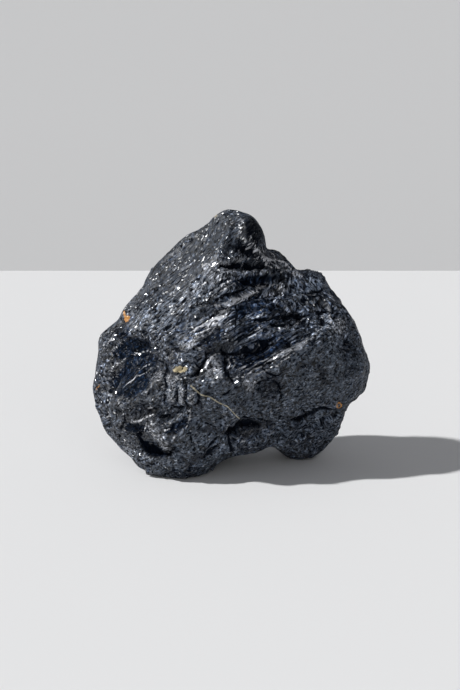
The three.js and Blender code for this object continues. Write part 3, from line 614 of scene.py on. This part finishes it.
def stone_surface():
    """The stone's points in the frame, its quads, each point's place along and across the fibres, and what
    the material reads there."""
    directions, quads = cube_grid(GRID_STEPS)
    form = coarse_form(directions)
    normal = corner_normals(form, quads)
    height, fibre, fields = broken_surface(form, normal)
    p = form + normal * height[:, None]
    place = CORE + p @ FACE_AXES
    place[:, 2] = np.maximum(place[:, 2], 0)  # what rests on the floor stays flat

    u, v = p[:, 0], p[:, 1]
    front = normal[:, 2] > 0
    for name, listed in STAINS.items():
        fields[name] = front * sum(strength * blob(u, v, *ellipse) for *ellipse, strength in listed)
    ring_u, ring_v = RUST_RING["at"]
    off_ring = (np.hypot(u - ring_u, v - ring_v) - RUST_RING["radius"]) / RUST_RING["half_width"]
    fields["rust"] += RUST_RING["strength"] * front * np.exp(-off_ring ** 2)
    vein, along = beside_line(u, v, VEIN)
    fields["vein"] = np.where(front & (along > 0) & (along < 1), vein / (1.2 - 0.6 * along), OFF_VEIN)
    # A point's rise above its surroundings: where it is low, the material paints shade into the hollow.
    near_rise, far_rise = height - evened(height, quads, NEAR_RISE), height - evened(height, quads, FAR_RISE)
    fields["rise"] = near_rise + 0.35 * far_rise
    return place * MM, quads, fibre, fields


def build_stone(material):
    place, quads, fibre, fields = stone_surface()
    mesh = bpy.data.meshes.new("tourmaline")
    mesh.from_pydata(place, [], quads)
    mesh.shade_smooth()
    mesh.attributes.new("fibre", "FLOAT_VECTOR", "POINT").data.foreach_set("vector", fibre.ravel())
    for name, values in fields.items():
        mesh.attributes.new(name, "FLOAT", "POINT").data.foreach_set("value", values)
    mesh.materials.append(material)
    stone = bpy.data.objects.new("tourmaline", mesh)
    bpy.context.scene.collection.objects.link(stone)
    return stone


# ------------------------ materials

# The kinds of node in use: type, settings, the inputs to fill, in this order, and the output to take.
KINDS = {
    "field": ("ShaderNodeAttribute", {}, [], "Fac"),
    "plus": ("ShaderNodeMath", {"operation": "ADD"}, [0, 1], 0),
    "times": ("ShaderNodeMath", {"operation": "MULTIPLY"}, [0, 1], 0),
    "larger": ("ShaderNodeMath", {"operation": "MAXIMUM", "use_clamp": True}, [0, 1], 0),
    "size": ("ShaderNodeMath", {"operation": "ABSOLUTE"}, [0], 0),
    "fade": ("ShaderNodeMapRange", {"interpolation_type": "SMOOTHSTEP"}, [0, 1, 2, 3, 4], 0),
    "mix": ("ShaderNodeMix", {"data_type": "FLOAT"}, [0, 2, 3], 0),
    "mix vectors": ("ShaderNodeMix", {"data_type": "VECTOR"}, [0, 4, 5], 1),
    "mix colours": ("ShaderNodeMix", {"data_type": "RGBA"}, [0, 6, 7], 2),
    "split": ("ShaderNodeSeparateColor", {}, [0], 0),
    "add vectors": ("ShaderNodeVectorMath", {"operation": "ADD"}, [0, 1], 0),
    "scale": ("ShaderNodeVectorMath", {"operation": "SCALE"}, [0, 3], 0),
    "unit": ("ShaderNodeVectorMath", {"operation": "NORMALIZE"}, [0], 0),
    "to world": ("ShaderNodeVectorTransform",
                 {"vector_type": "NORMAL", "convert_from": "OBJECT", "convert_to": "WORLD"}, [0], 0),
    "place": ("ShaderNodeMapping", {}, ["Vector", "Scale"], 0),
    "noise": ("ShaderNodeTexNoise", {}, ["Vector", "Scale", "Detail", "Roughness"], "Fac"),
    "cells": ("ShaderNodeTexVoronoi", {}, ["Vector", "Scale"], "Color"),
    "bump": ("ShaderNodeBump", {}, ["Strength", "Distance", "Height"], 0),
}
SCHORL_COLOURS = {
    "matt": "#414954",  # pitted stone
    "glassy": "#122036",  # a fresh break
    "recess_shade": "#0d1b30",  # navy of a fresh break, painted darker as shade on the lowest, recessed slabs
    "navy": "#182436",  # the cleanest faces
    "worn": "#949caa",  # striae and grains rubbed pale
    "thread": "#c5c8cc",  # light threads along the fibres
    "pale": "#b4b7be",  # dusty planes, partly a painted highlight on the lit crest bands
    "crest": "#dcdee4",  # painted highlight on ridge crests
    "shaded": "#050a14",  # painted shade in cracks, pits, hollows and unlit planes
    "rust": "#c08742",
    "cream": "#c6b792",
    "vein": "#bdb59c",
}
SCHORL_IOR = 1.63
# Patterns: kind, grain along the fibres and across them in millimetres, and a noise's detail and roughness.
# Grains under about 0.35 mm wouldn't show.
PATTERNS = {
    "striae": ("noise", 8.0, 0.55, 3.0, 0.6), "grain": ("noise", 0.7, 0.45, 3.0, 0.65),
    "fibrous slabs": ("noise", 7.0, 1.6, 4.0, 0.6), "chipped slabs": ("noise", 4.5, 3.2, 4.0, 0.6),
    "web": ("noise", 4.2, 2.2, 3.0, 0.6), "threads": ("noise", 11.0, 0.9, 2.0, 0.6),
    "flakes": ("cells", 3.0, 0.9), "splinters": ("cells", 4.5, 0.5), "chips": ("cells", 1.1, 0.6),
    "slivers": ("cells", 1.5, 0.36), "crumbs": ("cells", 0.45, 0.4), "glints": ("cells", 0.42, 0.36),
}
# Ranges that "fade" runs over, as its lowest and highest value.
TO_GLASSY = (0.2, 0.6)  # of gloss: matt stone to glassy
TO_CHIPPED = (0.3, 0.7)  # of blocky: fibrous stone to chipped
WHOLE = (0.0, 1.0)


def linear(hex_colour):
    """An sRGB hex colour as linear red, green, blue and alpha."""
    parts = [int(hex_colour[i:i + 2], 16) / 255 for i in (1, 3, 5)]
    return [c / 12.92 if c <= 0.04045 else ((c + 0.055) / 1.055) ** 2.4 for c in parts] + [1.0]


def fill_inputs(tree, node, values):
    """Sets a node's inputs, by name or number, and links those whose value is another node's output."""
    for name, value in values.items():
        if isinstance(value, bpy.types.NodeSocket):
            tree.links.new(value, node.inputs[name])
        else:
            node.inputs[name].default_value = value


def add_node(tree, kind, *values, **settings):
    """Adds a node of one of the KINDS, fills its inputs in that kind's order and returns its output. Values
    beyond the last input go on to another node of that kind, after the first one's output."""
    name, usual_settings, inputs, output = KINDS[kind]
    node = tree.nodes.new(name)
    for setting, value in {**usual_settings, **settings}.items():
        setattr(node, setting, value)
    fill_inputs(tree, node, dict(zip(inputs, values)))
    more = values[len(inputs):]
    return add_node(tree, kind, node.outputs[output], *more) if more else node.outputs[output]


def new_material(name):
    """A material, its node tree and the shader in it."""
    material = bpy.data.materials.new(name)
    material.use_nodes = True
    return material, material.node_tree, material.node_tree.nodes["Principled BSDF"]


def schorl():
    """Raw schorl, broken along and across its fibres: blue-black and glassy where the break is fresh, matt
    grey where it is pitted, with fine striae along the fibres and tiny cleavage faces that catch the light.
    The real striae and faces are mostly under 0.2 mm wide: they are drawn at least 0.36 mm wide, to show."""
    material, tree, shader = new_material("schorl")
    node = functools.partial(add_node, tree)
    tint = {name: linear(colour) for name, colour in SCHORL_COLOURS.items()}
    fibre = node("field", attribute_name="fibre").node.outputs["Vector"]
    gloss, blocky, calm, tone, sparkle, crest, crack, rise, pale, shaded, navy, rust, cream, vein = (
        node("field", attribute_name=name) for name in (
            "gloss", "blocky", "calm", "tone", "sparkle", "crest", "crack", "rise", "pale", "dark", "navy",
            "rust", "cream", "vein"))

    def pattern(name):
        """One of the PATTERNS, drawn out along the fibres."""
        kind, along, across, *rest = PATTERNS[name]
        return node(kind, node("place", fibre, (1 / along, 1 / across, 1 / across)), 1.0, *rest)

    def tilted(normal, cells, amount):
        """The normal with a random slant of up to half of `amount` for every cell."""
        slant = node("scale", node("add vectors", cells, (-0.5, -0.5, -0.5)), amount)
        return node("unit", node("add vectors", normal, slant))

    # Striae where the stone is fibrous, grain where it is chipped.
    grain = pattern("grain")
    fine = node("mix", blocky, pattern("striae"), grain)
    # Broken faces of three sizes, each cell with three random numbers, and the finest glints.
    broken = node("fade", blocky, 0.49, 0.51)
    flakes = pattern("flakes")
    chips = node("mix colours", broken, pattern("splinters"), pattern("chips"))
    crumbs = node("mix colours", broken, pattern("slivers"), pattern("crumbs"))
    glints = pattern("glints")
    flake, chip, crumb, glint = (
        node("split", cells).node.outputs for cells in (flakes, chips, crumbs, glints))
    # Slabs of fresh break at three levels: `low` and `high` are the steps up to the second and the third.
    slab = node("mix", blocky, pattern("fibrous slabs"), pattern("chipped slabs"))
    slab = node("plus", slab, node("times", calm, 0.03))
    low, high = node("fade", slab, 0.43, 0.445), node("fade", slab, 0.53, 0.545)
    # Dark hairlines and light threads run where a noise crosses its middle, on some of the chips.
    web, weft = pattern("web"), pattern("threads")
    hair = node("times", node("fade", web, 0.475, 0.5), node("fade", web, 0.525, 0.5),
                node("fade", chip[2], 0.3, 0.5))
    thread = node("times", node("fade", weft, 0.46, 0.5), node("fade", weft, 0.54, 0.5),
                  node("fade", chip[2], 0.4, 0.6))
    # Ridge crests, painted pale as a highlight, and open cracks, painted black as shade, both ragged.
    edge = node("fade", node("plus", crest, node("times", grain, 2.4), node("times", crumb[2], 0.8), -1.7),
                0.1, 0.8)
    gap = node("fade", node("plus", crack, node("times", grain, 1.2), -0.6), 0.0, 0.4)
    stir = node("fade", calm, *WHOLE, 1.5, 0.4)  # how far the broken faces tilt
    steps = node("fade", calm, *WHOLE, 1.0, 0.3)  # how much the slabs stand out

    relief = node("times", fine, node("fade", gloss, *WHOLE, 0.45, 0.35),
                  node("fade", node("times", low, blocky), *WHOLE, 1.0, 0.6))
    relief = node("plus", relief, node("times", low, 0.25, steps), node("times", high, 0.2, steps),
                  node("times", edge, 0.2), node("times", gap, -0.3), node("times", hair, -0.08))
    normal = node("bump", 1.0, MM, relief)
    normal = tilted(normal, flakes, node("times", node("fade", gloss, 0.0, 0.6, 0.20, 0.25), stir))
    normal = tilted(normal, chips, node("times", node("fade", gloss, 0.0, 0.6, 0.25, 0.35), stir))
    normal = tilted(normal, crumbs, node("times", node("fade", gloss, 0.0, 0.6, 0.5, 0.4), stir))
    # Scattered cleavage faces all lie one way, and catch the light together.
    face = tilted(node("to world", tuple(CLEAVAGE @ FACE_AXES)), crumbs, 0.3)
    flash = node("fade", node("plus", glint[0], node("times", sparkle, 0.05), node("times", edge, 0.35)),
                 0.985, 0.99)
    normal = node("mix vectors", flash, normal, face)

    # Painted shade: cracks, hollows, pits and unlit planes are coloured near black.
    # Pits: painted shade where the striae and grain of the bump lie lowest.
    level = node("fade", calm, *WHOLE, 0.04, -0.01)
    pits = node("fade", node("plus", fine, node("times", level, -1.0)),
                node("fade", blocky, *TO_CHIPPED, 0.45, 0.43), node("fade", blocky, *TO_CHIPPED, 0.42, 0.40))
    # Painted shade in hollows, where the rise is low.
    hollow = node("fade", rise, -0.1, -0.8)
    dark = node("plus", node("times", hollow, 0.6), node("times", pits, 0.95),
                node("times", shaded, node("fade", crumb[2], 0.1, 0.9, 1.0, 0.5)))
    dark = node("larger", dark, gap)

    worn = node("times", node("fade", fine, 0.53, 0.60), node("fade", blocky, *TO_CHIPPED, 0.6, 0.3))
    colour = node("mix colours", gloss, tint["matt"], tint["glassy"])
    colour = node("mix colours", worn, colour, tint["worn"])
    threads = node("times", thread, node("fade", gloss, *TO_GLASSY, 0.0, 0.5))
    colour = node("mix colours", threads, colour, tint["thread"])
    # Painted shade: the lowest, recessed slabs take a darker navy.
    colour = node("mix colours", node("fade", low, *WHOLE, 0.6, 0.0), colour, tint["recess_shade"])
    colour = node("mix colours", navy, colour, tint["navy"])
    # Pale planes: dust, and on the lit crest bands a painted highlight.
    dust_and_highlight = node("times", pale, node("fade", crumb[1], 0.2, 0.8, 0.2, 0.9))
    colour = node("mix colours", dust_and_highlight, colour, tint["pale"])
    # Painted shade: the lowest slabs are darker than the raised ones.
    slabs = node("plus", node("times", low, 0.75, steps), node("times", high, 0.3, steps),
                 node("times", steps, -0.6), 0.95)
    chip_range = [node("fade", gloss, *TO_GLASSY, *span) for span in ((0.85, 0.65), (1.15, 1.45))]
    shade = node(
        "times",
        node("mix", navy, tone, 0.55),
        node("fade", chip[1], 0.1, 0.9, *chip_range),
        node("mix", node("fade", gloss, *TO_GLASSY), node("fade", crumb[1], 0.05, 0.28, 0.22, 1.12), 1.0),
        node("fade", flake[1], *WHOLE, 0.8, 1.2),
        node("fade", glint[1], 0.80, 0.86, 1.0, 0.12),
        # Pale specks on the finest glint cells, brightest on glassy stone: painted glints.
        node("fade", glint[2], 0.82, 0.88, 1.0, node("fade", gloss, *TO_GLASSY, 1.7, 3.2)),
        node("fade", hair, *WHOLE, 1.0, 0.3),
        slabs,
    )
    colour = node("scale", colour, shade)
    # Painted shade over the cracks, hollows, pits and unlit planes.
    colour = node("mix colours", node("times", dark, 0.95), colour, tint["shaded"])
    # Painted highlight on the ridge crests.
    colour = node("mix colours", node("times", edge, 0.9), colour, tint["crest"])

    # Stains and the vein, ragged at their edges.
    ragged = node("times", node("plus", grain, -0.5), 0.9)
    for name, field, fray, start in (("rust", rust, 2.0, 0.4), ("cream", cream, 5.0, 0.35)):
        stain = node("times", field, node("plus", node("times", ragged, fray), 1.0))
        colour = node("mix colours", node("fade", stain, start, 0.6), colour, tint[name])
    off_vein = node("plus", node("size", vein), node("times", ragged, 0.3))
    vein = node("fade", off_vein, 0.19, 0.08)
    colour = node("mix colours", node("times", vein, 0.9), colour, tint["vein"])

    polish = node("fade", gloss, 0.55, 1.0, 0.0, -0.20)
    roughness = node("plus", node("fade", gloss, 0.1, 0.6, 0.75, 0.42), polish,
                     node("times", dark, 0.3), node("times", flash, -0.3))
    clean = node("plus", navy, node("times", edge, -1.0))
    specular = node("times", node("fade", dark, *WHOLE, 0.5, 0.05), node("fade", clean, *WHOLE, 1.0, 0.1))
    fill_inputs(tree, shader, {"Base Color": colour, "Roughness": roughness, "IOR": SCHORL_IOR,
                               "Specular IOR Level": specular, "Normal": normal})
    return material


def plain_paper(name, colour):
    """Uncoated paper: one even colour and hardly any gloss."""
    material, tree, shader = new_material(name)
    fill_inputs(tree, shader, {"Base Color": linear(colour), "Roughness": 0.9})
    return material


# ------------------------ stage, lights and camera

# Places are X, Y and Z here.
TABLE_BACK = 0.25  # from the core to the table's rounded back edge
TABLE_HALF = 1.6  # the table's half width, and its reach to the front
TABLE_EDGE = 0.003
TABLE_DROP = 0.05  # how far the paper hangs down at the back
BACKDROP_FOOT, BACKDROP_TOP = (1.6, -0.7), (2.8, 1.0)  # the backdrop leans back between these, in Y and Z
BACKDROP_HALF = 2.4

KEY_RISE = math.radians(45)
KEY_TOWARDS = (-math.cos(KEY_RISE), -0.06, math.sin(KEY_RISE))
KEY_SPREAD, FILL_SPREAD = math.radians(2.5), math.radians(60)
FILL_TOWARDS = (0.15, -0.97, 0.16)
KEY_STRENGTH, FILL_STRENGTH, WORLD_STRENGTH = 3.3, 0.9, 0.20
WORLD_COLOUR = (0.97, 0.99, 1.05, 1)

CAMERA_PITCH = math.radians(12)
CAMERA_DISTANCE = 0.417
LENS, SENSOR = 100, 36  # in millimetres


def swept_sheet(name, back, height, half_width, material):
    """A sheet whose profile, points of `back` along Y and `height` along Z, is swept along X."""
    left = np.stack([np.full(len(back), -half_width), back, height], axis=1)
    number = np.arange(len(back) - 1)
    quads = np.stack([number, number + len(back), number + len(back) + 1, number + 1], axis=1)
    mesh = bpy.data.meshes.new(name)
    mesh.from_pydata(np.concatenate([left, left * (-1, 1, 1)]), [], quads)
    mesh.shade_smooth()
    mesh.materials.append(material)
    sheet = bpy.data.objects.new(name, mesh)
    bpy.context.scene.collection.objects.link(sheet)


def build_stage():
    """The table's paper runs level to its back edge, turns down there through a quarter circle of radius
    TABLE_EDGE and hangs down. The backdrop leans back far behind it, so that the key light reaches it."""
    turn = np.linspace(0, math.pi / 2, 9)
    back = np.concatenate([[-TABLE_HALF], TABLE_BACK - TABLE_EDGE * (1 - np.sin(turn)), [TABLE_BACK]])
    height = np.concatenate([[0], TABLE_EDGE * (np.cos(turn) - 1), [-TABLE_DROP]])
    swept_sheet("floor", back, height, TABLE_HALF, plain_paper("white_paper", "#e6e6e6"))
    back, height = np.array([BACKDROP_FOOT, BACKDROP_TOP]).T
    swept_sheet("backdrop", back, height, BACKDROP_HALF, plain_paper("grey_paper", "#cdcdcd"))


def add_sun(name, towards, strength, spread):
    """A light from far off in the direction `towards`, as wide as the angle `spread`."""
    data = bpy.data.lights.new(name, "SUN")
    data.energy = strength
    data.angle = spread
    light = bpy.data.objects.new(name, data)
    light.rotation_mode = "QUATERNION"
    light.rotation_quaternion = Vector(towards).to_track_quat("Z", "Y")
    bpy.context.scene.collection.objects.link(light)
    return light


def build_lights():
    """A key light from the left, a wide fill from the front, and a dim even world."""
    add_sun("key", KEY_TOWARDS, KEY_STRENGTH, KEY_SPREAD)
    fill = add_sun("fill", FILL_TOWARDS, FILL_STRENGTH, FILL_SPREAD)
    fill.visible_glossy = False  # only the key light glints on the stone
    world = bpy.data.worlds.new("studio")
    world.use_nodes = True
    fill_inputs(world.node_tree, world.node_tree.nodes["Background"],
                {"Color": WORLD_COLOUR, "Strength": WORLD_STRENGTH})
    bpy.context.scene.world = world
    world.cycles_visibility.glossy = False  # the studio is dark where the stone mirrors it


def build_camera():
    """The camera looks along +Y and CAMERA_PITCH down, straight at the core point."""
    data = bpy.data.cameras.new("camera")
    data.lens = LENS
    data.sensor_width = SENSOR
    camera = bpy.data.objects.new("camera", data)
    back = Vector((0, -math.cos(CAMERA_PITCH), math.sin(CAMERA_PITCH)))
    camera.location = Vector(CORE * MM) + back * CAMERA_DISTANCE
    camera.rotation_mode = "QUATERNION"
    camera.rotation_quaternion = (-back).to_track_quat("-Z", "Y")
    bpy.context.scene.collection.objects.link(camera)
    bpy.context.scene.camera = camera


bpy.context.scene.view_settings.view_transform = "Standard"
build_camera()
build_stage()
build_lights()
stone = build_stone(schorl())
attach(stone, "root")
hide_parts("stone")
